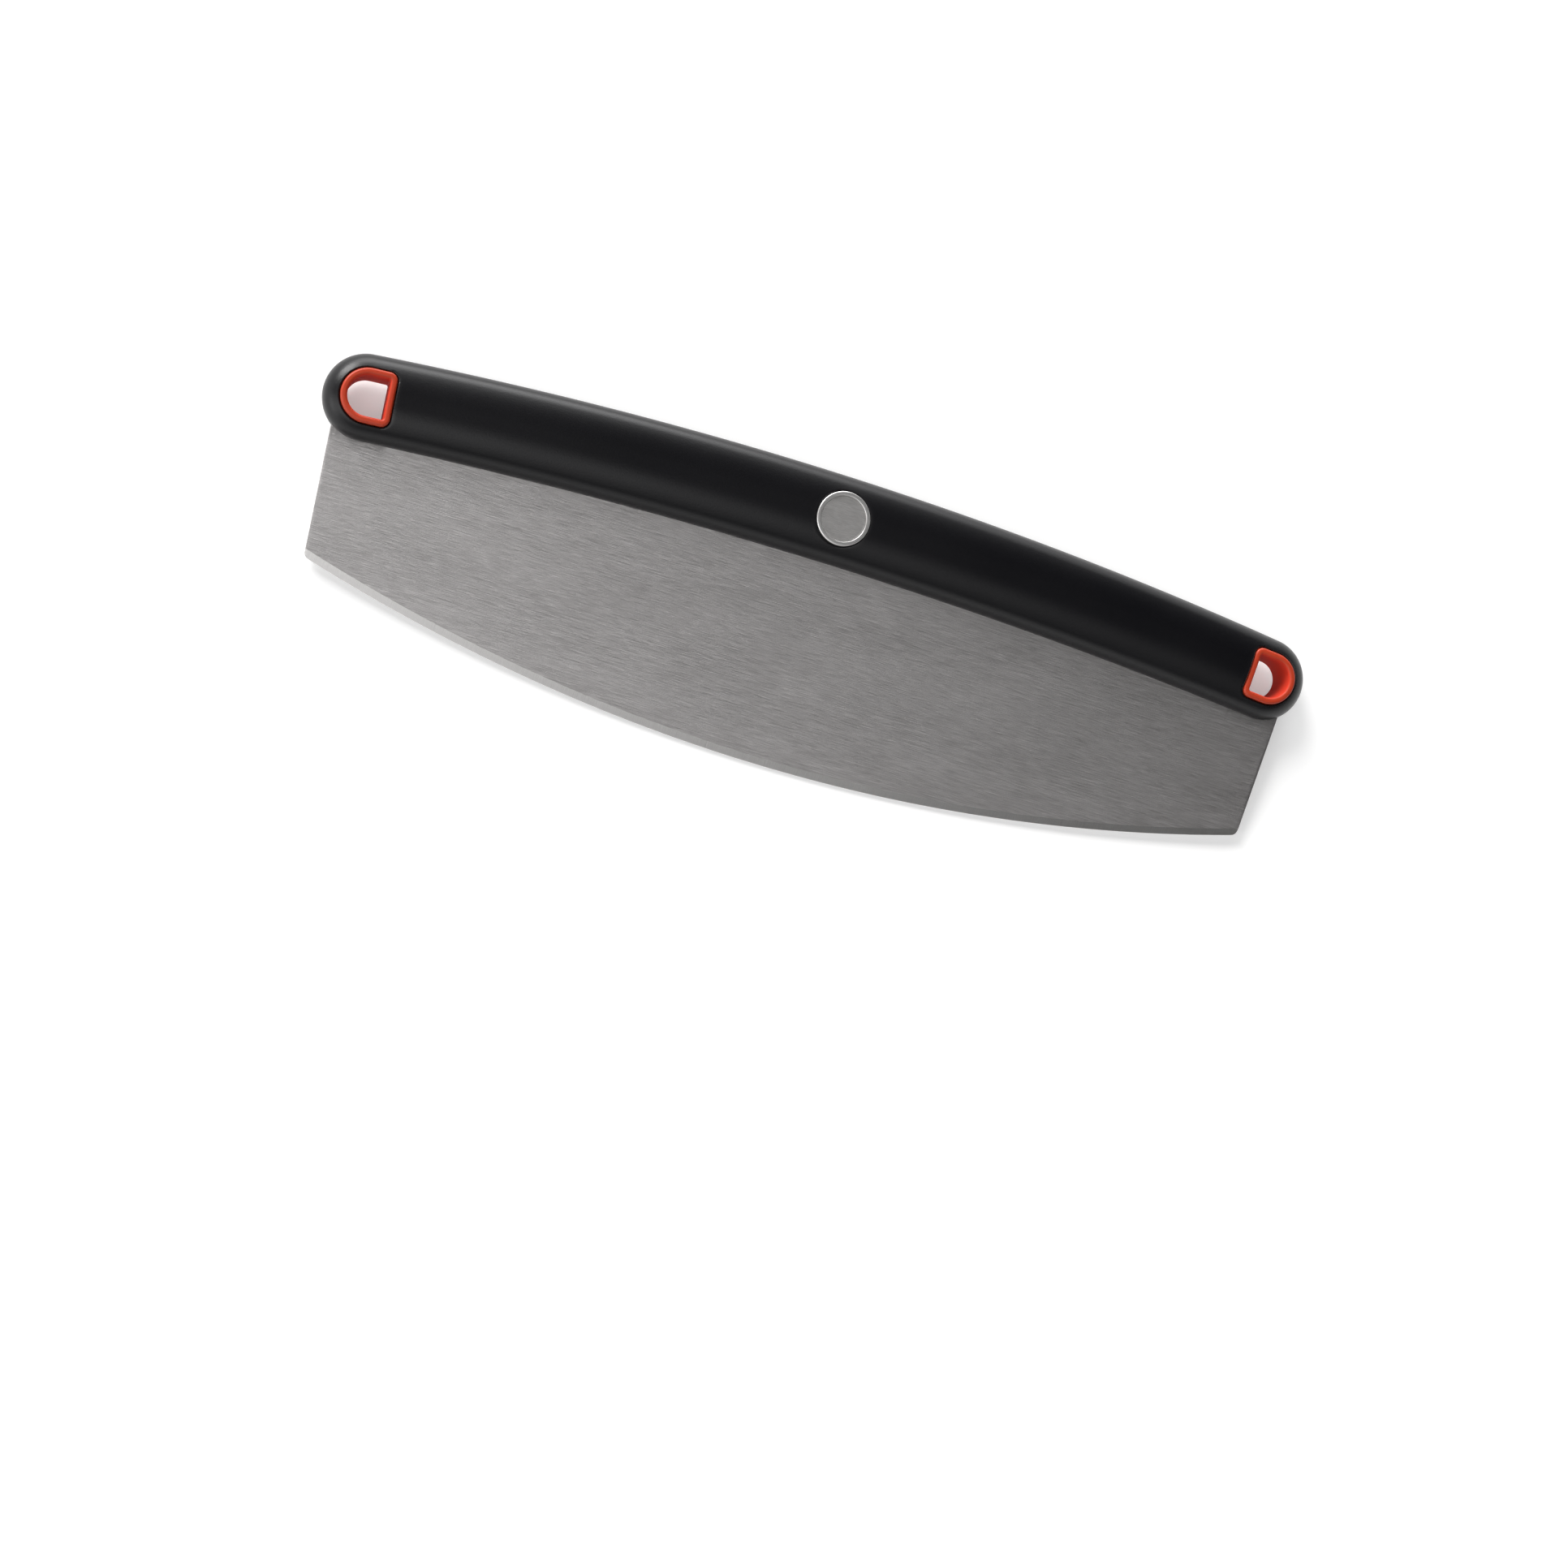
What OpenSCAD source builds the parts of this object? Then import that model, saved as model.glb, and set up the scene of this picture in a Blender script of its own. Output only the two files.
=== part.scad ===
// Rocking pizza knife: a curved steel blade under a full-length two-shell handle.
//
// It is drawn flat first: x runs along the length, y from the cutting edge up to the spine
// of the handle, z out of the front face, with z = 0 in the middle of the blade. At the end
// the whole knife is laid on its back, where it rests on both handle ends and on the edge.

/* [Handle] */
// Length over the handle (14 in)
handle_l = 355.6; // [300:0.1:420]
// Height from the cutting edge to the top of the handle, in the middle
knife_h = 103.3; // [90:0.1:125]
// Height of the handle in the middle
handle_h = 31.2; // [29.8:0.1:34]
// Thickness of the handle
handle_t = 17.5; // [16:0.1:21]
// Radius of the round ends
end_r = 14.6; // [13.6:0.1:15.2]
// Radius of the long curve along the spine
spine_r = 1470; // [1200:5:2400]
// Radius of the handle's section at its top and bottom
crown_r = 7.5; // [6:0.1:7.8]
// Width of the flat left along the middle of each side, at the handle's ends
side_flat = 2.4; // [1.6:0.1:4]

/* [Shells] */
// Wall over the hollows in the shells
wall = 2.8; // [2:0.1:3.6]
// Solid lip of each shell along the blade
lip_h = 7; // [5:0.5:9]
// Width of solid material round each bore and along the tang's outline
rib_w = 3; // [2:0.5:5]

/* [Blade] */
// Thickness of the blade
blade_t = 2; // [1.5:0.1:2.4]
// Length of the blade where it leaves the handle
blade_l = 343.6; // [290:0.1:406]
// Lean of the blade's ends, inwards towards the edge
end_lean = 4.5; // [0:0.1:8]
// Radius of the rocking edge
edge_r = 612; // [520:1:900]
// Height of the ground bevel
bevel_h = 2.4; // [1:0.1:5]
// Thickness left at the edge
edge_t = 0.3; // [0.1:0.05:0.6]
// Radius of the blade's lower corners
corner_r = 2.2; // [0.5:0.1:6]
// Cover of the spine over the tang
spine_cover = 7; // [5:0.1:8]
// Distance of the blade's shoulders below the hang holes
shoulder_drop = 1.2; // [0.6:0.1:3]
// Distance of the tang's ends from the liners' collars
tang_step = 1; // [0.6:0.1:4]

/* [Hang holes] */
// Height of the D-shaped hole
hole_h = 13.6; // [10:0.1:14]
// Distance of the hole's flat side from the centre of its round side
hole_flat = 6.2; // [4:0.1:8]
// Corner radius at the flat side
hole_corner = 0.7; // [0.4:0.1:2]
// Tilt of the hole along the drooping end of the handle
hole_tilt = 4.5; // [0:0.1:6]
// Width of the coloured rim
rim_w = 2.3; // [1.6:0.1:2.6]
// Height of the rim's face over the middle of the blade
rim_z = 8.1; // [7.4:0.1:8.6]
// Rounding of the rim's edges
rim_r = 0.9; // [0.3:0.1:1.1]
// Reach of the liner's hidden collar beyond the rim
collar_w = 1.2; // [0.8:0.1:1.6]
// Thickness of the hidden collar
collar_t = 3; // [2:0.1:4]

/* [Medallions] */
// Diameter of the medallion
medal_d = 18.6; // [14:0.1:20]
// Thickness of the medallion at its rim
medal_t = 1.2; // [0.8:0.1:1.8]
// Width of its raised rim
medal_rim = 1.4; // [0.8:0.1:2.5]
// Depth of its dished face
medal_dish = 0.35; // [0.1:0.05:0.6]
// Height that the front medallion stands proud of the handle
front_proud = 0.3; // [0:0.05:0.6]
// Height of the back one, kept low so that the knife lies on its handle
back_proud = 0; // [0:0.05:0.1]
// Rounding of its outer edge
medal_edge = 0.4; // [0.2:0.05:0.6]
// Diameter of the adhesive pad under it
pad_d = 17; // [11:0.1:18]
// Thickness of the adhesive pad
pad_t = 0.4; // [0.2:0.05:0.8]

/* [Fasteners] */
// Thread diameter of the clamp screw
screw_d = 4; // [3:0.1:4.5]
// Outer diameter of the sleeve nut
sleeve_d = 6; // [5.6:0.1:7]
// Reach of the sleeve past the blade
sleeve_reach = 3; // [1:0.1:3.4]
// Reach of the screw past the blade
screw_reach = 2.5; // [1:0.1:3]
// Diameter of both heads
head_d = 10; // [8:0.1:10.6]
// Thickness of both heads
head_t = 1.4; // [1:0.1:1.8]
// Width across the flats of the hex sockets
socket_w = 2.5; // [1.5:0.1:2.8]
// Depth of the hex sockets
socket_h = 0.9; // [0.5:0.1:0.95]
// Diameter of the press pins through the tang
pin_d = 4; // [3:0.1:5]
// Length of the press pins
pin_l = 12; // [8:0.1:12.4]
// Distance between neighbouring press pins
pin_pitch = 62; // [45:1:64]

/* [Fits] */
// Play around the blade in the shells, and of the pins in the tang
tang_gap = 0.15; // [0.1:0.05:0.3]
// Shadow gap around the rims and medallions
seat_gap = 0.2; // [0.1:0.05:0.35]
// Play of the screw, sleeve and pins in their bores
bore_gap = 0.05; // [0.03:0.01:0.1]
// Play at the ends of the pins and over the heads
end_gap = 0.1; // [0.05:0.05:0.2]
// Room around the liners' collars in the tang
collar_room = 0.5; // [0.4:0.05:0.9]

/* [Hidden] */

steel = "silver";
black = "#1d1c1f";
orange_red = "#c8371f";
brass = "#b9913f";

$fn = 96;
// Long arcs need many sides, because only a short stretch of each is used
long_fn = 1440;
// Overreach of a cut past the face that it opens
cut = 1;
// Steps of the handle's form along the spine, round each end, and over its section
long_steps = 24;
end_steps = 24;
crown_steps = 6;
side_steps = 5;

half_t = handle_t / 2;
under_y = knife_h - handle_h;

// Section of the handle: a round crown above and below, and fuller curves on both sides that
// meet in a narrow flat, which takes up the handle's taper towards its ends
half_oval = end_r - side_flat / 2;
side_r = (pow(half_t, 2) + pow(half_oval - crown_r, 2) - pow(crown_r, 2)) / (2 * (half_t - crown_r));
blend_a = acos((half_oval - crown_r) / (side_r - crown_r));

// Centre of the right-hand round end, which touches the spine curve from inside
end_x = handle_l / 2 - end_r;
spine_y = knife_h - spine_r;
end_y = spine_y + sqrt(pow(spine_r - end_r, 2) - pow(end_x, 2));
// The underside is the arc that touches both round ends and the middle of the underside
end_rise = end_y - under_y;
under_r = (pow(end_x, 2) + pow(end_rise, 2) - pow(end_r, 2)) / (2 * (end_r - end_rise));
under_c = under_y - under_r;
spine_sweep = asin(end_x / (spine_r - end_r));
under_sweep = asin(end_x / (under_r + end_r));

// Blade ends
blade_top_y = end_y - end_r * cos(under_sweep);
corner_y = edge_r - sqrt(pow(edge_r, 2) - pow(blade_l / 2, 2));
tang_top_r = spine_r - spine_cover;
tang_half = end_x - hole_flat - rim_w - collar_w - tang_step;
tang_shoulder = end_y - hole_h / 2 - shoulder_drop;
shell_floor = blade_t / 2;

// Medallion and fasteners, from the face of the handle inwards
function medal_z(proud) = half_t + proud - medal_t;
function pad_z(proud) = medal_z(proud) - pad_t;
function head_z(proud) = pad_z(proud) - head_t - end_gap;
middle_y = knife_h - handle_h / 2;
core_z = half_t - wall;
boss_r = pin_d / 2 + rib_w;
hub_r = head_d / 2 + rib_w;
sleeve_end = shell_floor + sleeve_reach;
screw_end = shell_floor + screw_reach;

// The knife lies on its back: the handle's back touches beside both hang holes, and the
// blade touches along the shoulder of its bevel.
rest_x = end_x - hole_flat - rim_w - seat_gap;
rest_y = under_c + sqrt(pow(under_r, 2) - pow(rest_x, 2)) + half_oval;
lie_a = rest_y - bevel_h;
lie_b = side_r - half_t + blade_t / 2;
lie_tilt = atan2(lie_a, lie_b) - acos(side_r / norm([lie_a, lie_b]));
lie_lift = blade_t / 2 * cos(lie_tilt) - bevel_h * sin(lie_tilt);
lie_front_y = -edge_t / 2 * sin(lie_tilt);
lie_spine_y = (knife_h - crown_r) * cos(lie_tilt) + crown_r;
lie_y = (lie_front_y + lie_spine_y) / 2;

// Lays a piece drawn flat down in its resting place
module lie_down() {
  translate([0, -lie_y, lie_lift]) rotate([lie_tilt, 0, 0]) children();
}

// Plan outline of the handle, drawn in by d: round end, spine, round end and underside
function right_end(d) = [
  for (i = [0:end_steps])
    let (a = (180 + under_sweep - spine_sweep) * i / end_steps - 90 - under_sweep)
      [end_x, end_y] + (end_r - d) * [cos(a), sin(a)]
];
function left_end(d) = [for (i = [end_steps:-1:0]) let (p = right_end(d)[i]) [-p.x, p.y]];
function spine(d) = [
  for (i = [1:long_steps - 1])
    let (a = 90 - spine_sweep + 2 * spine_sweep * i / long_steps)
      [0, spine_y] + (spine_r - d) * [cos(a), sin(a)]
];
function underside(d) = [
  for (i = [1:long_steps - 1])
    let (a = 90 + under_sweep - 2 * under_sweep * i / long_steps)
      [0, under_c] + (under_r + d) * [cos(a), sin(a)]
];
function plan(d) = concat(right_end(d), spine(d), left_end(d), underside(d));

// Section of the handle as steps of [how far in, how high], crown first and then the side
section = concat(
  [for (i = [0:crown_steps]) let (a = blend_a * i / crown_steps) crown_r * [1 - cos(a), sin(a)]],
  [
    for (i = [1:side_steps])
      let (a = (90 - blend_a) * (1 - i / side_steps))
        [half_oval - side_r * sin(a), half_t - side_r * (1 - cos(a))]
  ]
);

// Front half of the handle's outer form: the plan outline stepped up along the section
module half_form() {
  n = 2 * (end_steps + long_steps);
  rings = len(section);
  points = [for (s = section) for (p = plan(s[0])) [p.x, p.y, s[1]]];
  // Point on the other edge of the plan, opposite point i
  function across(i) = (n + end_steps - i) % n;
  tip = end_steps / 2;
  walls = [
    for (k = [0:rings - 2]) for (i = [0:n - 1])
      let (j = (i + 1) % n, low = k * n, high = low + n)
        each [[low + i, high + i, high + j], [low + i, high + j, low + j]]
  ];
  strips = [
    for (i = [tip:tip + n / 2 - 1])
      each [
        if (across(i) != i) [i, i + 1, across(i)],
        if (across(i + 1) != i + 1) [i + 1, across(i + 1), across(i)]
      ]
  ];
  top = n * (rings - 1);
  lids = [for (t = strips) [t[2] + top, t[1] + top, t[0] + top]];
  polyhedron(points, concat(walls, strips, lids));
}

// D outline, its round side towards +x, grown by g all round
module d_outline(g) {
  r = hole_h / 2 + g;
  f = hole_flat + g;
  c = hole_corner + g;
  circle(r);
  translate([c - f, -r]) square([f - c, 2 * r]);
  translate([-f, c - r]) square([f, 2 * (r - c)]);
  for (s = [-1, 1]) translate([c - f, s * (r - c)]) circle(c);
}

// Puts a hole's shape in place at the right-hand end
module at_hole() {
  translate([end_x, end_y, 0]) rotate([0, 0, -hole_tilt]) children();
}

// Half length of the blade at height y, grown by g
function end_at(y, g = 0) = blade_l / 2 + (y - blade_top_y) * tan(end_lean) + g / cos(end_lean);

// Outline of blade and tang, grown by g inside the handle
module blade_outline(g) {
  low = -2 * cut;
  intersection() {
    translate([0, edge_r]) circle(edge_r, $fn = long_fn);
    polygon([
      [-end_at(low, g), low],
      [end_at(low, g), low],
      [end_at(tang_shoulder + g, g), tang_shoulder + g],
      [-end_at(tang_shoulder + g, g), tang_shoulder + g]
    ]);
  }
  intersection() {
    translate([0, spine_y]) circle(tang_top_r + g, $fn = long_fn);
    translate([-tang_half - g, tang_shoulder - cut]) square([2 * (tang_half + g), knife_h]);
  }
}

// Removes what the liners need from the tang, with g left around the collars
module hole_notches(g) {
  for (s = [0, 1])
    mirror([s, 0]) translate([end_x, end_y]) rotate(-hole_tilt) d_outline(rim_w + collar_w + g);
}

// Centre of the rounding in the blade's lower right-hand corner, r inside end line and edge
lean_x = end_at(0) - corner_r / cos(end_lean);
lean_k = tan(end_lean);
// It solves (lean_x + lean_k y)^2 + (y - edge_r)^2 = (edge_r - corner_r)^2 for y
quad_a = 1 + pow(lean_k, 2);
quad_b = 2 * (lean_x * lean_k - edge_r);
quad_c = pow(lean_x, 2) + pow(edge_r, 2) - pow(edge_r - corner_r, 2);
round_y = (-quad_b - sqrt(pow(quad_b, 2) - 4 * quad_a * quad_c)) / (2 * quad_a);
round_x = lean_x + lean_k * round_y;

// Sharp corner outside the rounding, to be cut away
module sharp_corner() {
  to_edge = atan2(round_y - edge_r, round_x);
  foot = [round_x + corner_r * cos(end_lean), round_y - corner_r * sin(end_lean)];
  on_edge = [round_x + corner_r * cos(to_edge), round_y + corner_r * sin(to_edge)];
  polygon([
    [round_x, round_y],
    foot,
    foot + [corner_r, -3 * corner_r],
    on_edge + [0, -3 * corner_r],
    on_edge
  ]);
}

module blade() {
  color(steel) lie_down() difference() {
    intersection() {
      translate([0, 0, -blade_t / 2]) linear_extrude(blade_t) difference() {
        union() {
          difference() {
            blade_outline(0);
            for (s = [0, 1]) mirror([s, 0]) sharp_corner();
          }
          for (s = [-1, 1]) translate([s * round_x, round_y]) circle(corner_r);
        }
        hole_notches(collar_room);
      }
      // Disc with a bevelled rim, which grinds the edge from both sides
      translate([0, edge_r, 0]) rotate_extrude($fn = long_fn)
        polygon([
          [0, -blade_t / 2],
          [edge_r - bevel_h, -blade_t / 2],
          [edge_r, -edge_t / 2],
          [edge_r, edge_t / 2],
          [edge_r - bevel_h, blade_t / 2],
          [0, blade_t / 2]
        ]);
    }
    translate([0, middle_y, 0]) cylinder(d = sleeve_d + 2 * tang_gap, h = 2 * blade_t, center = true);
    for (i = [0:3])
      at_pin(i) cylinder(d = pin_d + 2 * tang_gap, h = 2 * blade_t, center = true);
  }
}

// Place of press pin i, on the middle line between spine and underside
function pin_x(i) = (i < 2 ? i - 2 : i - 1) * pin_pitch;
function middle_at(x) = (spine_y + sqrt(pow(spine_r, 2) - x * x) + under_c + sqrt(pow(under_r, 2) - x * x)) / 2;
module at_pin(i) {
  translate([pin_x(i), middle_at(pin_x(i)), 0]) children();
}

// Hollow between two stations along the shell, from the blade towards the face
module hollow(x1, x2) {
  translate([0, 0, shell_floor - cut]) linear_extrude(core_z - shell_floor + cut) intersection() {
    translate([0, spine_y]) circle(tang_top_r - rib_w, $fn = long_fn);
    difference() {
      translate([x1, 0]) square([x2 - x1, knife_h]);
      translate([0, under_c]) circle(under_r + lip_h, $fn = long_fn);
    }
  }
}

// Half of the handle for a medallion that stands proud by so much, drawn as the front one
module shell(proud) {
  difference() {
    half_form();
    translate([0, 0, -cut]) linear_extrude(cut + shell_floor) difference() {
      blade_outline(tang_gap);
      hole_notches(collar_room - tang_gap);
    }
    for (s = [0, 1]) mirror([s, 0, 0]) at_hole() {
      translate([0, 0, -cut]) linear_extrude(handle_t) d_outline(rim_w + seat_gap);
      translate([0, 0, -cut])
        linear_extrude(cut + collar_t / 2 + bore_gap) d_outline(rim_w + collar_w + seat_gap);
    }
    translate([0, middle_y, 0]) {
      translate([0, 0, pad_z(proud)]) cylinder(d = medal_d + 2 * seat_gap, h = handle_t);
      translate([0, 0, head_z(proud)]) cylinder(d = head_d + 2 * seat_gap, h = handle_t);
      translate([0, 0, -cut]) cylinder(d = sleeve_d + 2 * bore_gap, h = handle_t);
    }
    for (i = [0:3])
      at_pin(i) translate([0, 0, -cut]) cylinder(d = pin_d + 2 * bore_gap, h = cut + pin_l / 2 + end_gap);
    for (s = [0, 1]) mirror([s, 0, 0]) {
      hollow(hub_r, pin_pitch - boss_r);
      hollow(pin_pitch + boss_r, 2 * pin_pitch - boss_r);
      hollow(2 * pin_pitch + boss_r, tang_half - rib_w);
    }
  }
}

module front_shell() {
  color(black) lie_down() shell(front_proud);
}

module back_shell() {
  color(black) lie_down() mirror([0, 0, 1]) shell(back_proud);
}

// Wall of the liner in section, its inner face at x = 0, with rounded rims
module liner_wall() {
  for (sx = [rim_r, rim_w - rim_r])
    for (sz = [-1, 1]) translate([sx, sz * (rim_z - rim_r)]) circle(rim_r);
  translate([0, rim_r - rim_z]) square([rim_w, 2 * (rim_z - rim_r)]);
  translate([rim_r, -rim_z]) square([rim_w - 2 * rim_r, 2 * rim_z]);
}

// Straight stretch of the liner's wall, of length l along y, its inner face at x = 0
module liner_side(l) {
  translate([0, l, 0]) rotate([90, 0, 0]) linear_extrude(l) liner_wall();
}

// One-piece D-shaped sleeve with a collar that both shells trap
module liner() {
  r = hole_h / 2;
  straight = hole_flat - hole_corner;
  rotate([0, 0, -90]) rotate_extrude(angle = 180) translate([r, 0]) liner_wall();
  for (s = [0, 1]) mirror([0, s, 0]) {
    translate([-straight, r, 0]) rotate([0, 0, -90]) mirror([1, 0, 0]) liner_side(straight);
    translate([-straight, r - hole_corner, 0])
      rotate([0, 0, 90]) rotate_extrude(angle = 90) translate([hole_corner, 0]) liner_wall();
  }
  translate([-hole_flat, hole_corner - r, 0]) mirror([1, 0, 0]) liner_side(2 * (r - hole_corner));
  translate([0, 0, -collar_t / 2]) linear_extrude(collar_t) difference() {
    d_outline(rim_w + collar_w);
    d_outline(rim_w / 2);
  }
}

module left_liner() {
  color(orange_red) lie_down() mirror([1, 0, 0]) at_hole() liner();
}

module right_liner() {
  color(orange_red) lie_down() at_hole() liner();
}

// Dished metal badge, its back at z = 0
module medallion() {
  rotate_extrude() {
    difference() {
      square([medal_d / 2 - medal_edge, medal_t]);
      translate([-cut, medal_t - medal_dish])
        square([medal_d / 2 - medal_rim + cut, medal_t]);
    }
    square([medal_d / 2, medal_t - medal_edge]);
    translate([medal_d / 2 - medal_edge, medal_t - medal_edge]) circle(medal_edge);
  }
}

// Places a medallion or pad on the front or the back
module on_face(z) {
  lie_down() translate([0, middle_y, z]) children();
}

module front_medallion() {
  color(steel) on_face(medal_z(front_proud)) medallion();
}

module back_medallion() {
  color(steel) on_face(-medal_z(back_proud)) mirror([0, 0, 1]) medallion();
}

module front_pad() {
  color("dimgray") on_face(pad_z(front_proud)) cylinder(d = pad_d, h = pad_t);
}

module back_pad() {
  color("dimgray") on_face(-pad_z(back_proud) - pad_t) cylinder(d = pad_d, h = pad_t);
}

// Head with a hex socket, its top at z = 0
module socket_head() {
  difference() {
    translate([0, 0, -head_t]) cylinder(d = head_d, h = head_t);
    translate([0, 0, -socket_h]) cylinder(d = socket_w / cos(30), h = socket_h + cut, $fn = 6);
  }
}

module sleeve_nut() {
  head = head_z(front_proud);
  color(brass) lie_down() translate([0, middle_y, 0]) difference() {
    union() {
      translate([0, 0, head + head_t]) socket_head();
      translate([0, 0, -sleeve_end]) cylinder(d = sleeve_d, h = sleeve_end + head);
    }
    translate([0, 0, -sleeve_end - cut])
      cylinder(d = screw_d + 2 * bore_gap, h = cut + sleeve_end + screw_end + end_gap);
  }
}

module clamp_screw() {
  head = head_z(back_proud);
  color(steel) lie_down() translate([0, middle_y, 0]) mirror([0, 0, 1]) {
    translate([0, 0, head + head_t]) socket_head();
    translate([0, 0, -screw_end]) cylinder(d = screw_d, h = screw_end + head);
  }
}

module tang_pin(i) {
  color(steel) lie_down() at_pin(i) cylinder(d = pin_d, h = pin_l, center = true);
}

blade();
front_shell();
back_shell();
left_liner();
right_liner();
front_medallion();
back_medallion();
front_pad();
back_pad();
sleeve_nut();
clamp_screw();
tang_pin(0);  // tang_pin_1
tang_pin(1);  // tang_pin_2
tang_pin(2);  // tang_pin_3
tang_pin(3);  // tang_pin_4
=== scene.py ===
import math

import bmesh
import bpy
import numpy as np
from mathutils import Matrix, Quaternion, Vector


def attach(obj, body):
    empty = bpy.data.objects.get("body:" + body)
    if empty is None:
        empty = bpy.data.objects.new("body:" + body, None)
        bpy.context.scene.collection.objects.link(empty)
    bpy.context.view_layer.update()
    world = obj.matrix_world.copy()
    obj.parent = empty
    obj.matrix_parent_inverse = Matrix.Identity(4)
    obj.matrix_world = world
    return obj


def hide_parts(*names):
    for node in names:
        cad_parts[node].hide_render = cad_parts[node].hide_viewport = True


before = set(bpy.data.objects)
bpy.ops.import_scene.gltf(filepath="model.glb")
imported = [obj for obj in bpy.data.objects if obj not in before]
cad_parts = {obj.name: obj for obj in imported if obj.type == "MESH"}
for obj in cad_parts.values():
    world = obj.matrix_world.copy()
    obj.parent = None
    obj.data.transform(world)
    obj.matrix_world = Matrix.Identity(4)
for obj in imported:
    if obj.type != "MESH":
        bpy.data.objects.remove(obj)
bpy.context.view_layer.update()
print("frame loaded:", len(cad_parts), "nodes")

mm = 0.001                                    # the pieces are worked out in millimetres
weld = 0.0005 * mm                            # points closer than this become one

camera = {
    "place": (-0.19275, -0.19897, 0.91107),   # metres, where the photo was taken from
    "aim": (0.00468, -0.05661, 0.01),
    "roll": 69.55,                            # degrees about the line of sight
    "fieldOfView": 31.545,                    # degrees over the square picture
    "sensor": 36,                             # millimetres
    "sees": (0.01, 50),                       # metres
}
lamp = {                                      # a broad soft lamp, far away behind the left end
    "from": (-0.64, 0.60, 0.48),
    "breadth": 30,                            # degrees
    "strength": 3.2,
    "colour": (1.0, 0.99, 0.98),
}
room = {
    "wall": 0.80,                             # brightness all round the horizon
    "ceiling": (0.21, 0.00),                  # and overhead, on the left and on the right
    "ceilingFade": (0.00, 0.44),              # between these two places, by the sky's x
    "wallTop": 0.20,                          # sine of the height where the wall starts to fade
    "ceilingFrom": 0.50,                      # and of the height where the ceiling begins
    "front": 2.10,                            # brightness of a soft box in front of the knife
    "frontRise": (-0.06, -0.40),              # where it begins and where it is full, by y
    "frontFall": (-0.82, -0.42),              # and where it is over and still full
    "back": 6.00,                             # brightness of another one low behind it
    "backRise": (0.66, 1.02),                 # where it begins and would be full, by y
    "boxRight": (0.32, 0.00),                 # where both are over and still full, by x
    "floorColour": (0.74, 0.74, 0.74, 1),
    "floorGlow": 0.34,                        # what is seen on top, for a white ground
    "floorSize": 30.0,                        # metres
}
colours = {                                   # most finishes run between a dark one and a pale one
    "plastic": ((0.0016, 0.0016, 0.0026, 1), (0.0026, 0.0024, 0.0036, 1)),
    "plasticLip": (0.016, 0.015, 0.016, 1),
    "brushed": ((0.52, 0.50, 0.495, 1), (0.82, 0.795, 0.79, 1)),
    "ground": ((0.48, 0.47, 0.465, 1), (0.60, 0.59, 0.58, 1)),
    "orange": ((0.40, 0.034, 0.011, 1), (0.48, 0.048, 0.016, 1)),
    # painted light: the walls inside the hole, lighter and redder than the rest of the liner
    "orangeWallPaintedLight": (0.60, 0.034, 0.010, 1),
    "badge": ((0.42, 0.41, 0.405, 1), (0.64, 0.63, 0.62, 1)),
    "badgeRim": (0.80, 0.79, 0.78, 1),
    "foam": ((0.05, 0.05, 0.05, 1), (0.14, 0.14, 0.14, 1)),
    "brass": ((0.60, 0.38, 0.14, 1), (0.78, 0.55, 0.24, 1)),
    "steel": ((0.48, 0.48, 0.47, 1), (0.64, 0.63, 0.62, 1)),
    "black": (0, 0, 0, 1),
    "white": (1, 1, 1, 1),
}


def makeCamera():
    lens = bpy.data.cameras.new("camera")
    lens.sensor_width = camera["sensor"]
    lens.angle = math.radians(camera["fieldOfView"])
    lens.clip_start, lens.clip_end = camera["sees"]
    stand = bpy.data.objects.new("camera", lens)
    bpy.context.scene.collection.objects.link(stand)
    stand.location = camera["place"]
    look = (Vector(camera["aim"]) - Vector(camera["place"])).to_track_quat("-Z", "Y")
    stand.rotation_mode = "QUATERNION"
    stand.rotation_quaternion = look @ Quaternion((0, 0, 1), math.radians(camera["roll"]))
    bpy.context.scene.camera = stand
    bpy.context.scene.view_settings.view_transform = "Standard"


def makeLamp():
    light = bpy.data.lights.new("lamp", "SUN")
    light.angle = math.radians(lamp["breadth"])
    light.energy, light.color = lamp["strength"], lamp["colour"]
    stand = bpy.data.objects.new("lamp", light)
    bpy.context.scene.collection.objects.link(stand)
    stand.rotation_mode = "QUATERNION"
    stand.rotation_quaternion = (-Vector(lamp["from"])).to_track_quat("-Z", "Y")


class Wire:
    # a socket that takes part in Python sums

    def __init__(self, paint, socket):
        self.paint, self.socket = paint, socket

    def math(self, operation, first, second):
        return self.paint.add("Math", {"operation": operation}, {0: first, 1: second})

    def __add__(self, other):
        return self.math("ADD", self, other)

    def __sub__(self, other):
        return self.math("SUBTRACT", self, other)

    def __rsub__(self, other):
        return self.math("SUBTRACT", other, self)

    def __mul__(self, other):
        return self.math("MULTIPLY", self, other)

    __radd__, __rmul__ = __add__, __mul__


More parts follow.
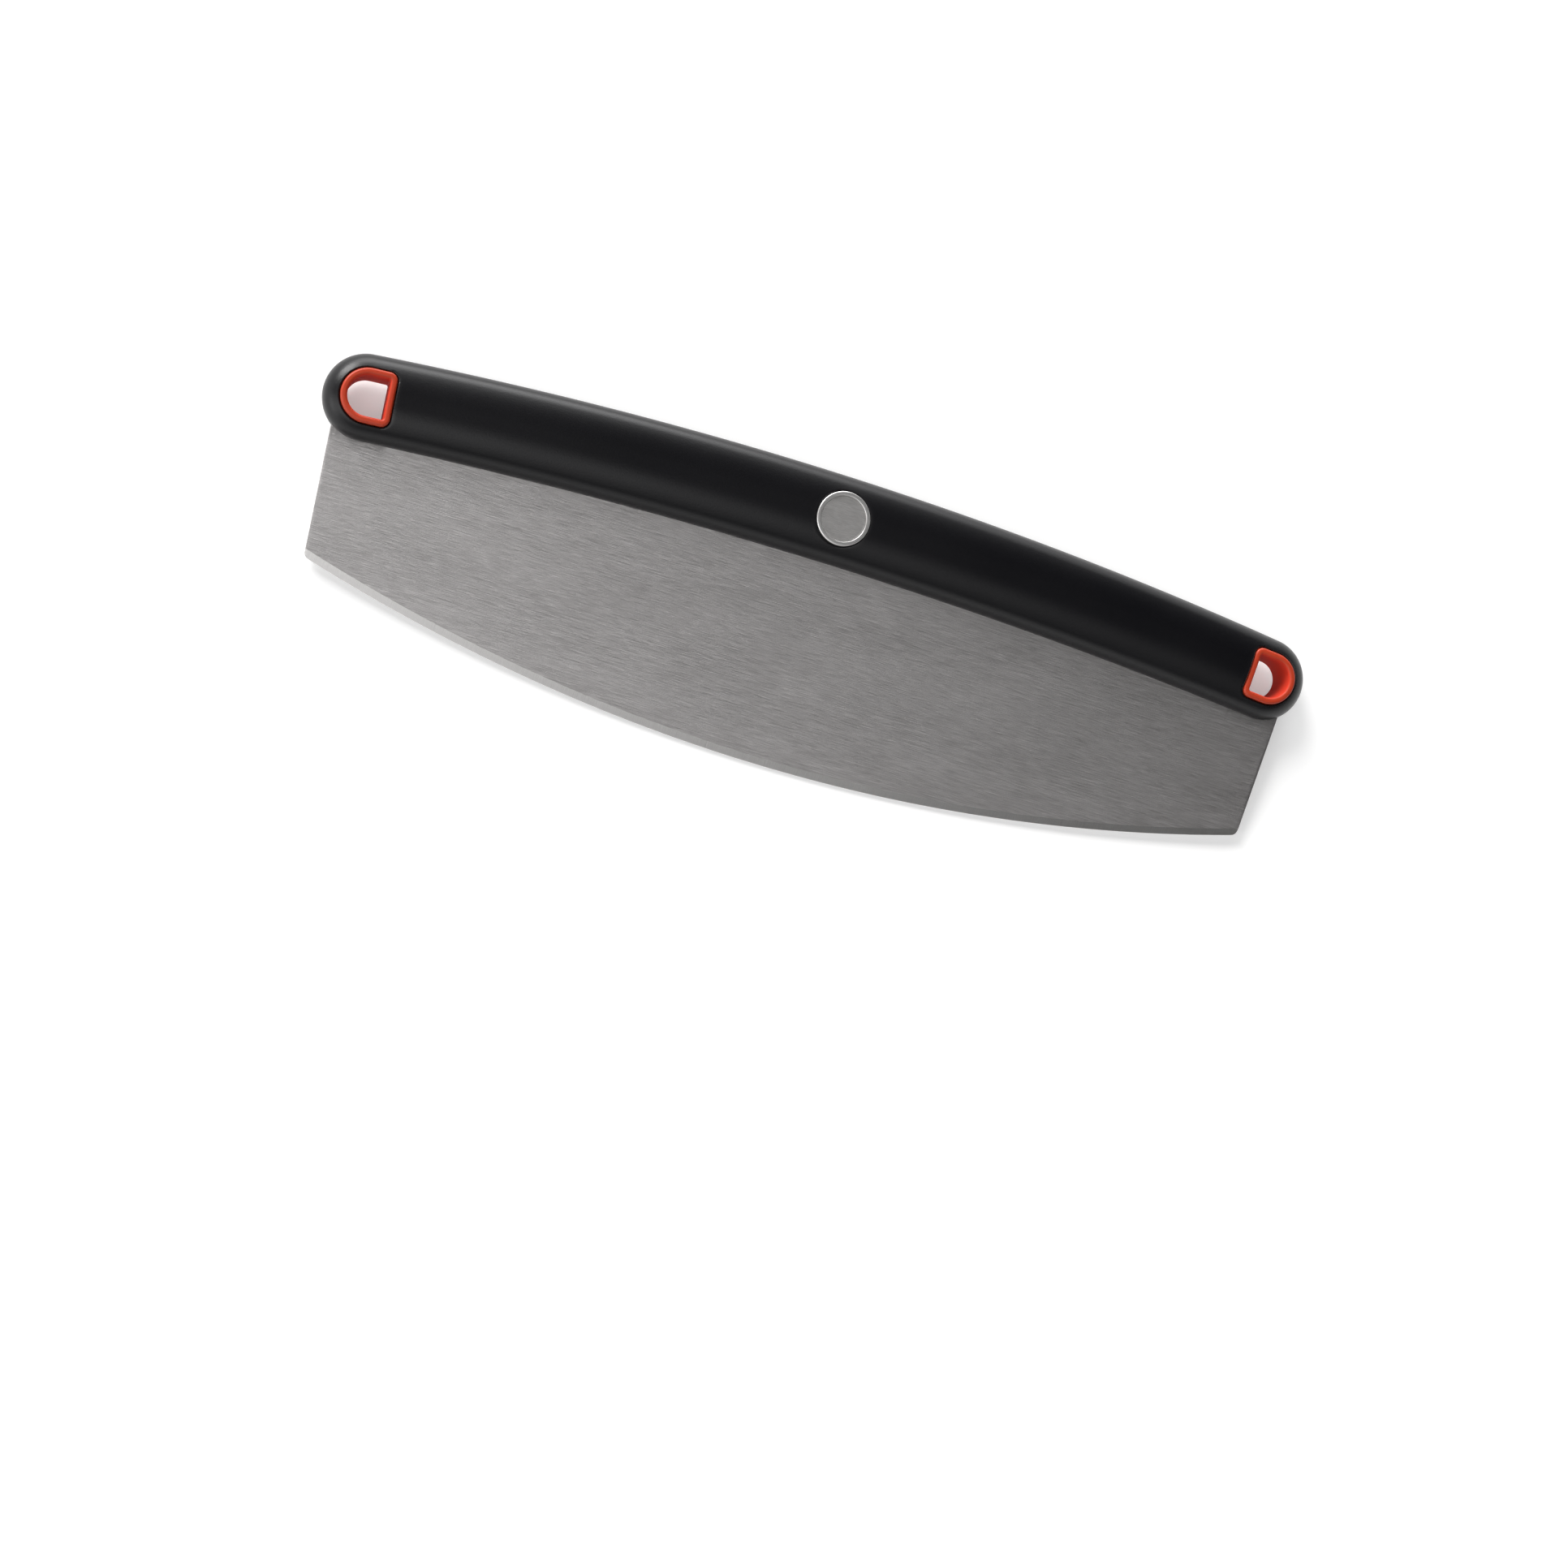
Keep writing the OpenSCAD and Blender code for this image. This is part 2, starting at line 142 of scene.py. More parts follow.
class Paint:
    # one material, or the world, and the few kinds of node that the finishes need

    def __init__(self, owner):
        self.owner = owner
        owner.use_nodes = True
        self.nodes, self.links = owner.node_tree.nodes, owner.node_tree.links
        self.nodes.clear()

    def add(self, kind, settings=None, values=None, out=0):
        node = self.nodes.new("ShaderNode" + kind)
        for name, value in (settings or {}).items():
            setattr(node, name, value)
        for name, value in (values or {}).items():
            if isinstance(value, Wire):
                self.links.new(value.socket, node.inputs[name])
            else:
                node.inputs[name].default_value = value
        return Wire(self, node.outputs[out])

    def grain(self, sizes, detail=2, roughness=0.5):
        # noise whose grains are as long as the three sizes, in millimetres
        point = self.add("TexCoord", out="Object")
        stretch = [1 / (size * mm) for size in sizes]
        point = self.add("VectorMath", {"operation": "MULTIPLY"}, {0: point, 1: stretch})
        values = {"Vector": point, "Scale": 1, "Detail": detail, "Roughness": roughness}
        return self.add("TexNoise", None, values)

    def fade(self, value, start, end, first=0.0, last=1.0):
        # first up to the start, last from the end on, and a smooth way between them
        ends = {"Value": value, "From Min": start, "From Max": end, "To Min": first, "To Max": last}
        return self.add("MapRange", {"interpolation_type": "SMOOTHSTEP"}, ends)

    def blend(self, share, first, second):
        return self.add("Mix", {"data_type": "RGBA"}, {0: share, 6: first, 7: second}, out=2)

    def attribute(self, name):
        return self.add("Attribute", {"attribute_name": name}, out="Fac")

    def bump(self, height, distance, under=None):
        values = {"Height": height, "Distance": distance * mm, "Strength": 1}
        if under:
            values["Normal"] = under
        return self.add("Bump", None, values)

    def finish(self, **values):
        sockets = {name.replace("_", " "): value for name, value in values.items()}
        surface = self.add("BsdfPrincipled", None, sockets)
        self.links.new(surface.socket, self.nodes.new("ShaderNodeOutputMaterial").inputs["Surface"])
        return self.owner


def newLook(name):
    return Paint(bpy.data.materials.new(name))


def satinBlack():
    # black moulded plastic with a fine spark texture, a little paler on the lips of its openings
    look = newLook("satin_black")
    texture = look.grain((0.45, 0.45, 0.45), 2, 0.6)
    speck = look.grain((0.18, 0.18, 0.18), 1)
    cloud = look.grain((38, 24, 24), 3)
    lip = look.attribute("lip")
    colour = look.blend(cloud, *colours["plastic"])
    colour = look.blend(lip * 0.5, colour, colours["plasticLip"])
    return look.finish(
        Base_Color=colour,
        Roughness=0.24 + texture * 0.10 + cloud * 0.06 - lip * 0.06,
        Specular_IOR_Level=0.37,
        Normal=look.bump(texture, 0.036, look.bump(speck, 0.010)),
    )


def brushedBlade():
    # stainless sheet brushed along its length, cloudy where it was wiped, with a ground bevel
    look = newLook("brushed_blade")
    streak = look.grain((9, 0.36, 6), 3, 0.7)
    hair = look.grain((5, 0.15, 3), 2, 0.6)
    cloud = look.grain((48, 13, 20), 3, 0.55)
    ground = look.attribute("ground")
    grind = look.grain((0.30, 6, 3), 3, 0.6)
    tone = streak * 0.80 + hair * 0.60 + cloud * 0.20
    colour = look.blend(look.fade(tone, 0.50, 1.10), *colours["brushed"])
    colour = look.blend(ground, colour, look.blend(grind, *colours["ground"]))
    height = (streak * 0.6 + hair) * (1 - ground) + grind * ground
    return look.finish(
        Base_Color=colour,
        Metallic=1,
        Roughness=0.28 + streak * 0.08 + cloud * 0.04,
        Normal=look.bump(height, 0.052),
    )


def orangeLiner():
    # smooth orange-red plastic with faint flow marks, duller on the walls inside the hole, which also
    # carry painted light: a lighter, redder orange
    look = newLook("orange_liner")
    flow = look.grain((7, 7, 3), 3)
    speck = look.grain((0.3, 0.3, 0.3), 2)
    wall = look.attribute("wall")
    colour = look.blend(flow, *colours["orange"])
    return look.finish(
        # painted light: the walls inside the hole get a lighter, redder orange
        Base_Color=look.blend(wall, colour, colours["orangeWallPaintedLight"]),
        Roughness=0.34 + flow * 0.06 + speck * 0.06 + wall * 0.36,
        Specular_IOR_Level=0.35,
        Normal=look.bump(speck, 0.006),
    )


def brushedMedallion():
    # stamped steel badge, brushed sideways, with a brighter worn rim
    look = newLook("brushed_medallion")
    streak = look.grain((3.0, 0.11, 2), 3, 0.7)
    cloud = look.grain((5, 3, 5), 2)
    rim = look.attribute("rim")
    tone = streak * 0.8 + cloud * 0.2
    colour = look.blend(look.fade(tone, 0.30, 0.70), *colours["badge"])
    colour = look.blend(rim * 0.7, colour, colours["badgeRim"])
    return look.finish(
        Base_Color=colour,
        Metallic=1,
        Roughness=0.38 + streak * 0.10 + cloud * 0.06 - rim * 0.08,
        Normal=look.bump(streak * (1 - rim * 0.6), 0.020),
    )


def foamPad():
    # open grey foam with small pores
    look = newLook("foam_pad")
    pores = look.grain((0.4, 0.4, 0.4), 3)
    return look.finish(
        Base_Color=look.blend(pores, *colours["foam"]),
        Roughness=0.85,
        Normal=look.bump(pores, 0.1),
    )


def turnedMetal(metal):
    # fine rings across the piece's length, as a lathe leaves them
    look = newLook("turned_" + metal)
    marks = look.grain((1.2, 1.2, 0.12), 3)
    return look.finish(
        Base_Color=look.blend(marks, *colours[metal]),
        Metallic=1,
        Roughness=0.24 + marks * 0.16,
        Normal=look.bump(marks, 0.01),
    )


def seenRays(look):
    # one for what the camera sees by itself, in metal or through glass
    kinds = ("Is Camera Ray", "Is Glossy Ray", "Is Transmission Ray")
    straight, glossy, through = (look.add("LightPath", out=kind) for kind in kinds)
    return straight + glossy + through


def grey(level):
    return (level, level, level, 1)


def paleFloor():
    # matt and pale, and lighter where it is seen, so that it is white and keeps soft shadows
    look = newLook("pale_floor")
    glow = look.blend(seenRays(look), colours["black"], grey(room["floorGlow"]))
    return look.finish(
        Base_Color=room["floorColour"],
        Roughness=0.9,
        Specular_IOR_Level=0.1,
        Emission_Color=glow,
        Emission_Strength=1,
    )


def paintWorld():
    # a wall all round that is seen white, a ceiling that dims to the right, and two soft boxes
    world = bpy.data.worlds.new("studio")
    bpy.context.scene.world = world
    look = Paint(world)
    split = {0: look.add("TexCoord", out="Generated")}
    x, y, z = (look.add("SeparateXYZ", None, split, out=axis) for axis in "XYZ")
    ceiling = look.fade(x, *room["ceilingFade"], *room["ceiling"])
    wall = look.blend(seenRays(look), grey(room["wall"]), colours["white"])
    wall = look.fade(z, room["wallTop"], room["ceilingFrom"], wall, ceiling)
    front = look.fade(y, *room["frontRise"]) * look.fade(y, *room["frontFall"]) * room["front"]
    back = look.fade(y, *room["backRise"]) * room["back"]
    light = wall + (front + back) * look.fade(x, *room["boxRight"])
    glow = look.add("Background", None, {"Color": light, "Strength": 1})
    look.links.new(glow.socket, look.nodes.new("ShaderNodeOutputWorld").inputs["Surface"])


# The knife's form is drawn flat first: x along it, y from the cutting edge up to the spine, and z
# out of the front face, all in millimetres. layDown then puts it on the floor as it lies.
handle = {
    "length": 355.6,
    "top": 103.3,                             # from the cutting edge
    "height": 31.2,
    "thickness": 17.5,
    "endRadius": 14.6,
    "spineRadius": 1470.0,
    "crownRadius": 7.5,
    "sideFlat": 2.4,
    "seam": 0.14,                             # the little groove where the shells meet
    "lip": 0.55,                              # rounding round the liners
    "seatLip": 0.30,                          # and round the medallions
    "lipMark": 0.6,                           # how pale the skin still is where a lip ends
    "lipFade": 0.5,                           # and what it loses with each millimetre from there
    "endCut": 141.0,                          # where the grids round the hang holes begin
    "middleCut": 17.0,                        # and where the one round the medallion ends
    "split": 8.0,                             # so far below the middle, with the spine above it
}
hole = {
    "height": 13.6,
    "flat": 6.2,                              # the flat side, from the centre of the round one
    "corner": 0.7,
    "tilt": 4.5,                              # degrees
    "rim": 2.3,
    "rimFace": 8.1,                           # from the middle of the handle's thickness
    "rimRound": 0.9,
    "collar": 1.2,
    "collarThickness": 3.0,
    "gap": 0.2,                               # the dark line round the rim
    "wallFade": 0.5,                          # how far round the rim the walls' painted light and duller finish reach
}
blade = {
    "thickness": 2.0,
    "length": 343.6,
    "leaves": 64.98,                          # height at which it leaves the handle
    "lean": 4.5,                              # degrees
    "edgeRadius": 612.0,
    "bevel": 2.4,
    "rows": (-0.5, 0.0, 0.04, 0.8),           # rows of points, from the bevel's shoulder
    "edge": 0.3,
    "corner": 2.2,
    "cover": 7.0,                             # from the spine down to the tang
    "tangHalf": 152.5,
    "endTop": 68.7,                           # top of the blade's ends, inside the handle
    "ease": 0.12,                             # rounding of all edges
    "easeMark": 0.4,                          # how ground these look
}
medallion = {
    "radius": 9.3,
    "thickness": 1.2,
    "rim": 1.4,
    "dish": 0.35,
    "sag": 0.06,                              # how much deeper the face is in its middle
    "groove": 0.10,
    "grooveSpan": (0.05, 0.30),               # its bottom, from the rim inwards
    "faceStart": 0.42,                        # and where the face begins
    "hub": 0.02,                              # radius of the face's last ring
    "chamfer": 0.2,
    "edge": 0.4,
    "pad": 0.4,
    "gap": 0.2,
    "proud": {"front": 0.3, "back": 0.0},
}
counts = {                                    # how many points the grids have
    "crown": 16,                              # on the two parts of a section
    "side": 8,
    "fit": 200,                               # close points of an arc, before they are spaced
    "fitEnd": 900,
    "fitHole": 1200,
    "outline": 190,                           # round an end of the handle
    "bar": 125,                               # sections between an end and the middle
    "middle": 70,                             # along the middle, on the spine and on the belly
    "lip": 6,
    "fan": 30,                                # from an opening out to the outline
    "liner": 72,                              # on its round side
    "linerRim": 9,
    "badge": 144,
    "badgeRim": 8,
    "bowl": 16,
    "blade": 401,                             # from end to end
    "corner": 13,
    "tang": 7,
    "ease": 5,
}

halfThick = handle["thickness"] / 2
endR, spineR, crownR = handle["endRadius"], handle["spineRadius"], handle["crownRadius"]
halfOval = endR - handle["sideFlat"] / 2
sideR = (halfThick ** 2 + (halfOval - crownR) ** 2 - crownR ** 2) / (2 * (halfThick - crownR))
blend = math.acos((halfOval - crownR) / (sideR - crownR))
endX = handle["length"] / 2 - endR
spineY = handle["top"] - spineR
endY = spineY + math.sqrt((spineR - endR) ** 2 - endX ** 2)
bellyTop = handle["top"] - handle["height"]
rise = endY - bellyTop
bellyR = (endX ** 2 + rise ** 2 - endR ** 2) / (2 * (endR - rise))
bellyY = bellyTop - bellyR
spineSweep = math.asin(endX / (spineR - endR))
bellySweep = math.asin(endX / (bellyR + endR))
middleY = handle["top"] - handle["height"] / 2
seamInside = crownR - math.sqrt(crownR ** 2 - handle["seam"] ** 2)

# it lies on its back: on both ends of the handle, and on the shoulder of the blade's bevel
restX = endX - hole["flat"] - hole["rim"] - hole["gap"]
restY = bellyY + math.sqrt(bellyR ** 2 - restX ** 2) + halfOval
across, deep = restY - blade["bevel"], sideR - halfThick + blade["thickness"] / 2
tilt = math.atan2(across, deep) - math.acos(sideR / math.hypot(across, deep))
lift = blade["thickness"] / 2 * math.cos(tilt) - blade["bevel"] * math.sin(tilt)
lowY = -blade["edge"] / 2 * math.sin(tilt)
highY = (handle["top"] - crownR) * math.cos(tilt) + crownR
shift = (lowY + highY) / 2


def layDown(points):
    x, y, z = points.T
    back = y * math.cos(tilt) - z * math.sin(tilt) - shift
    high = y * math.sin(tilt) + z * math.cos(tilt) + lift
    return mm * np.stack([x, back, high], axis=1)


def byEnd(x, y):
    # where a point is seen from the centre of the nearer round end, and whether it is beyond it
    away, up = np.abs(x) - endX, y - endY
    angle = np.arctan2(up, away)
    return away, up, (angle > -math.pi / 2 - bellySweep) & (angle < math.pi / 2 - spineSweep)


def insideBy(x, y):
    # distance inside the outline: to the nearer of the two long arcs, or to the end's circle
    away, up, inEnd = byEnd(x, y)
    toArcs = np.minimum(spineR - np.hypot(x, y - spineY), np.hypot(x, y - bellyY) - bellyR)
    return np.where(inEnd, endR - np.hypot(away, up), toArcs)


def skinHeight(inside):
    # the section: the crown's circle first, and then a fuller one that ends in a narrow flat
    crown = np.sqrt(np.maximum(crownR ** 2 - (crownR - np.clip(inside, 0, crownR)) ** 2, 0))
    side = halfThick - sideR + np.sqrt(sideR ** 2 - np.clip(halfOval - inside, 0, halfOval) ** 2)
    return np.where(inside < crownR * (1 - math.cos(blend)), crown, side)


def onSkin(xy):
    return np.dstack([xy, skinHeight(insideBy(xy[..., 0], xy[..., 1]))])


def level(xy, z):
    return np.dstack([xy, np.full(xy.shape[:-1], z)])


def spineAt(x, inside):
    return spineY + np.sqrt((spineR - inside) ** 2 - x ** 2)


def bellyAt(x, inside):
    return bellyY + np.sqrt((bellyR + inside) ** 2 - x ** 2)


def circle(centre, radius, turn):
    return np.asarray(centre) + radius * np.stack([np.cos(turn), np.sin(turn)], axis=-1)


def evenly(line, count):
    # so many points at equal steps along a line of close points
    along = np.r_[0, np.cumsum(np.hypot(*np.diff(line, axis=0).T))]
    at = np.linspace(0, along[-1], count)
    return np.stack([np.interp(at, along, line[:, 0]), np.interp(at, along, line[:, 1])], axis=1)


class Grids:
    # collects grids of points and turns them into one closed mesh

    def __init__(self):
        self.points, self.faces, self.marks, self.count = [], [], [], 0

    def put(self, grid, closed=False, mark=0.0):
        rows, columns = grid.shape[:2]
        index = self.count + np.arange(rows * columns).reshape(rows, columns)
        if closed:
            index = np.hstack([index, index[:, :1]])
        quads = np.stack([index[:-1, :-1], index[:-1, 1:], index[1:, 1:], index[1:, :-1]], axis=-1)
        self.points.append(grid.reshape(-1, 3))
        self.faces.append(quads.reshape(-1, 4))
        self.marks.append(np.broadcast_to(mark, (rows, columns)).ravel())
        self.count += rows * columns

    def putMirrored(self, other, factors):
        for points, faces, marks in zip(other.points, other.faces, other.marks):
            self.points.append(points * factors)
            self.faces.append(faces + self.count)
            self.marks.append(marks)
        self.count += other.count

    def piece(self, name, markName, crease=32):
        # crease: the angle in degrees from which an edge is drawn sharp
        mesh = bpy.data.meshes.new(name)
        mesh.from_pydata(layDown(np.vstack(self.points)), [], np.vstack(self.faces).tolist())
        mark = mesh.attributes.new(markName, "FLOAT", "POINT")
        mark.data.foreach_set("value", np.concatenate(self.marks).astype(np.float32))
        work = bmesh.new()
        work.from_mesh(mesh)
        bmesh.ops.remove_doubles(work, verts=work.verts, dist=weld)
        bmesh.ops.recalc_face_normals(work, faces=work.faces)
        openEdges = sum(1 for edge in work.edges if not edge.is_manifold)
        work.to_mesh(mesh)
        work.free()
        mesh.shade_smooth()
        mesh.set_sharp_from_angle(angle=math.radians(crease))
        body = bpy.data.objects.new(name, mesh)
        bpy.context.scene.collection.objects.link(body)
        print(name, len(mesh.polygons), "faces,", openEdges, "open edges")
        return body


def dress(body, node, look):
    # its finish, the body it rides on, and the solid it replaces
    body.data.materials.append(look)
    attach(body, "root")
    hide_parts(node)


def sectionSteps():
    # how far inside the outline the section's points lie, even along its crown and its side
    crown = np.linspace(math.asin(handle["seam"] / crownR), blend, counts["crown"])
    side = np.linspace(math.pi / 2 - blend, 0, counts["side"])[1:]
    return np.r_[crownR * (1 - np.cos(crown)), halfOval - sideR * np.sin(side)]


def sectionAt(x):
    # the section's points at one station, from the belly up to the spine
    steps = sectionSteps()
    low, high = bellyAt(x, steps), spineAt(x, steps)
    middle = low[-1] + (high[-1] - low[-1]) * np.array([1 / 3, 2 / 3])
    y = np.r_[low, middle, high[::-1]]
    return np.stack([np.full_like(y, x), y], axis=1)


def drawnIn(outline):
    # the outline moved inwards by the seam's groove, square to itself
    x, y = outline.T
    away, up, inEnd = byEnd(x, y)
    end = np.stack([np.sign(x) * away, up], axis=1)
    side = np.where(y > middleY - handle["split"], 1, -1)
    arcs = np.stack([x, y - np.where(side > 0, spineY, bellyY)], axis=1) * side[:, None]
    out = np.where(inEnd[:, None], end, arcs)
    return outline - handle["seam"] * out / np.linalg.norm(out, axis=1, keepdims=True)


def putSeam(shell, outline, closed=False):
    # from the skin's lowest line down into the groove
    lines = [level(outline[None], handle["seam"]), level(drawnIn(outline)[None], 0.0)]
    shell.put(np.vstack(lines), closed=closed)


def putRing(shell, opening, normals, outer, cap, lip, walls, floor=None):
    # the skin from an opening out to its surroundings, the lip, the walls below it as pairs of
    # (outwards, height), and the flat side underneath. Each column of the grids runs from a
    # point of the opening to the point outside that faces it
    lipEnd = opening + normals * lip
    top = skinHeight(insideBy(*lipEnd.T))
    turn = np.linspace(0, math.pi / 2, counts["lip"])[:, None, None]
    bend = opening + normals * lip * (1 - np.cos(turn))
    rounded = np.dstack([bend, top - lip * (1 - np.sin(turn[..., 0]))])
    wall = [level((opening + normals * out)[None], height) for out, height in walls]
    shell.put(np.vstack(wall + [rounded[:1]]), closed=True)
    pale = np.linspace(1, handle["lipMark"], counts["lip"])
    shell.put(rounded, closed=True, mark=pale[:, None])
    share = 1 - (1 - np.linspace(0, 1, counts["fan"])[:, None, None]) ** 2
    away = share[..., 0] * np.linalg.norm(outer - lipEnd, axis=1)
    pale = np.clip(handle["lipMark"] - handle["lipFade"] * away, 0, 1)
    shell.put(onSkin(lipEnd + (outer - lipEnd) * share), closed=True, mark=pale)
    foot = wall[0][:, :, :2]
    centre = np.broadcast_to(opening.mean(axis=0), foot.shape)
    if floor is None:
        shell.put(level(np.vstack([foot, cap[None]]), 0.0), closed=True)
    else:
        shell.put(level(np.vstack([foot, centre]), floor), closed=True)
        shell.put(level(np.vstack([centre, cap[None]]), 0.0), closed=True)


def holePath(steps):
    # the D from the foot of its round side, against the clock: its points and outward normals,
    # with so many of them on the round side and fewer on the corners and the straight sides
    radius, corner = hole["height"] / 2, hole["corner"]
    back, high, quarter = corner - hole["flat"], radius - corner, math.pi / 2
    cornerSteps, straightSteps = steps // 6 + 2, steps // 4 + 2
    roundSide = np.linspace(-quarter, quarter, steps)
    bend = np.linspace(0, quarter, cornerSteps)
    share = np.linspace(0, 1, straightSteps)[1:-1, None]
    head, foot = np.array([back, radius]), np.array([back, -radius])
    flat = np.array([-hole["flat"], high]) * (1 - share) + np.array([-hole["flat"], -high]) * share
    turns = [roundSide, np.full(len(share), quarter), bend + quarter, np.full(len(share), 2 * quarter)]
    turns += [bend + 2 * quarter, np.full(len(share), 3 * quarter)]
    points = [
        circle((0, 0), radius, roundSide),
        np.array([0, radius]) * (1 - share) + head * share,
        circle((back, high), corner, turns[2]),
        flat,
        circle((back, -high), corner, turns[4]),
        foot * (1 - share) + np.array([0, -radius]) * share,
    ]
    turn = np.concatenate(turns)
    return np.vstack(points), np.stack([np.cos(turn), np.sin(turn)], axis=1)


def turned(xy, degrees):
    angle = math.radians(degrees)
    return xy @ np.array([[math.cos(angle), math.sin(angle)], [-math.sin(angle), math.cos(angle)]])


def holeTowards(outer, grow):
    # the points of the right-hand D, grown by so much, that lie towards the given points
    points, normals = holePath(counts["fitHole"])
    points = points + normals * grow
    angles = np.unwrap(np.arctan2(points[:, 1], points[:, 0]))
    seen = turned(outer - (endX, endY), hole["tilt"])
    towards = np.arctan2(seen[:, 1], seen[:, 0])
    towards = angles[0] + np.mod(towards - angles[0], 2 * math.pi)
    angles = np.r_[angles, angles[0] + 2 * math.pi]
    points, normals = np.vstack([points, points[:1]]), np.vstack([normals, normals[:1]])
    columns = (*points.T, *normals.T)
    found = np.stack([np.interp(towards, angles, column) for column in columns], axis=1)
    points, normals = turned(found[:, :2], -hole["tilt"]), turned(found[:, 2:], -hole["tilt"])
    return points + (endX, endY), normals


def makeShell(side):
    # the right half first, which is an end and a bar, then its mirror image and the middle
    half, shell = Grids(), Grids()
    cut, middle, inner = handle["endCut"], handle["middleCut"], seamInside
    quarter = math.pi / 2
    bellyEnd = endX - (endR - inner) * math.sin(bellySweep)
    spineEnd = endX + (endR - inner) * math.sin(spineSweep)
    run = np.linspace(cut, bellyEnd, counts["fit"])
    back = np.linspace(spineEnd, cut, counts["fit"])
    turn = np.linspace(-quarter - bellySweep, quarter - spineSweep, counts["fitEnd"])[1:-1]
    outline = [np.stack([run, bellyAt(run, inner)], axis=1)]
    outline += [circle((endX, endY), endR - inner, turn)]
    outline += [np.stack([back, spineAt(back, inner)], axis=1)]
    outline = evenly(np.vstack(outline), counts["outline"])
    cutLine = sectionAt(cut)[-2:0:-1]
    outer = np.vstack([outline, cutLine])
    cap = np.vstack([drawnIn(outline), cutLine])
    opening, normals = holeTowards(outer, hole["rim"] + hole["gap"])
    pocket = hole["collar"] + hole["gap"]
    pocketTop = hole["collarThickness"] / 2 + hole["gap"] / 2
    walls = [(pocket, 0.0), (pocket, pocketTop), (0, pocketTop)]
    putRing(half, opening, normals, outer, cap, handle["lip"], walls)
    putSeam(half, outline)

    stations = np.linspace(middle, cut, counts["bar"])
    sections = np.stack([sectionAt(x) for x in stations])
    half.put(onSkin(sections))
    flat = sections.copy()
    for row in (0, -1):
        flat[:, row] = drawnIn(sections[:, row])
        putSeam(half, sections[:, row])
    half.put(level(flat, 0.0))
    shell.putMirrored(half, (1, 1, 1))
    shell.putMirrored(half, (-1, 1, 1))

    cutLine = sectionAt(middle)
    run = np.linspace(middle, -middle, counts["middle"])
    above = np.stack([run, spineAt(run, inner)], axis=1)
    below = np.stack([-run, bellyAt(run, inner)], axis=1)
    inwards, outwards = cutLine[1:-1], cutLine[-2:0:-1] * (-1, 1)
    outer = np.vstack([inwards, above, outwards, below])
    cap = np.vstack([inwards, drawnIn(above), outwards, drawnIn(below)])
    radius = medallion["radius"] + medallion["gap"]
    normals = (outer - (0, middleY)) / np.linalg.norm(outer - (0, middleY), axis=1, keepdims=True)
    floor = halfThick + medallion["proud"][side] - medallion["thickness"] - medallion["pad"]
    opening = (0, middleY) + normals * radius
    putRing(shell, opening, normals, outer, cap, handle["seatLip"], [(0, floor)], floor)
    putSeam(shell, above)
    putSeam(shell, below)

    whole = Grids()
    whole.putMirrored(shell, (1, 1, 1 if side == "front" else -1))
    body = whole.piece(side + "_shell_skin", "lip")
    dress(body, side + "_shell", bpy.data.materials["satin_black"])


def makeLiner(name, factor):
    # one rounded wall with a collar in the middle, carried round the D
    points, normals = holePath(counts["liner"])
    face, soft, rim = hole["rimFace"], hole["rimRound"], hole["rim"]
    turn = np.linspace(0, math.pi / 2, counts["linerRim"])
    innerEdge = circle((soft, face - soft), soft, math.pi - turn)
    outerEdge = circle((rim - soft, face - soft), soft, math.pi / 2 - turn)
    deep, wide = hole["collarThickness"] / 2, rim + hole["collar"]
    upper = np.vstack([[(0, 0)], innerEdge, outerEdge, [(rim, deep), (wide, deep), (wide, 0)]])
    profile = np.vstack([upper, (upper * (1, -1))[::-1]])
    xy = points[None] + normals[None] * profile[:, :1, None]
    flat = turned(xy.reshape(-1, 2), -hole["tilt"]).reshape(xy.shape) + (endX, endY)
    grid = np.dstack([flat, np.broadcast_to(profile[:, 1:], xy.shape[:2])])
    # marks the walls inside the hole, for their painted light and duller finish
    wall = np.clip(1 - profile[:, :1] / hole["wallFade"], 0, 1)
    liner = Grids()
    liner.put(grid * (factor, 1, 1), closed=True, mark=wall)
    body = liner.piece(name + "_sleeve", "wall")
    dress(body, name, bpy.data.materials["orange_liner"])


def makeMedallion(side):
    # a turned profile: raised rim with rounded edges, a fine groove, and a dished face
    radius, rim, edge, dish = (medallion[size] for size in ("radius", "rim", "edge", "dish"))
    face, soft = radius - rim, edge / 2
    turn = np.linspace(0, math.pi / 2, counts["badgeRim"])
    outside = circle((radius - edge, -edge), edge, turn)
    inside = circle((face + soft, -soft), soft, math.pi / 2 + turn)
    bottom = -dish - medallion["groove"]
    groove = np.array([(face - inwards, bottom) for inwards in medallion["grooveSpan"]])
    bowl = np.linspace(face - medallion["faceStart"], medallion["hub"], counts["bowl"])
    dished = np.stack([bowl, -dish - medallion["sag"] * (1 - (bowl / face) ** 2)], axis=1)
    low, chamfer = -medallion["thickness"], medallion["chamfer"]
    below = [(0, low), (radius - chamfer, low), (radius, low + chamfer)]
    profile = np.vstack([below, outside, inside, groove, dished])
    marks = np.where(profile[:, 0] > groove[:, 0].max(), 1.0, 0.0)[:, None]
    spin = np.linspace(0, 2 * math.pi, counts["badge"] + 1)[:-1]
    top = halfThick + medallion["proud"][side]
    ring = [profile[:, :1] * np.cos(spin), middleY + profile[:, :1] * np.sin(spin)]
    grid = np.dstack(ring + [np.broadcast_to(top + profile[:, 1:], ring[0].shape)])
    middle = np.broadcast_to(np.array([0, middleY, grid[-1, 0, 2]]), grid[-1:].shape)
    badge = Grids()
    flip = np.array([1, 1, 1 if side == "front" else -1])
    badge.put(np.vstack([grid, middle]) * flip, closed=True, mark=np.vstack([marks, [[0.0]]]))
    body = badge.piece(side + "_badge", "rim")
    dress(body, side + "_medallion", bpy.data.materials["brushed_medallion"])


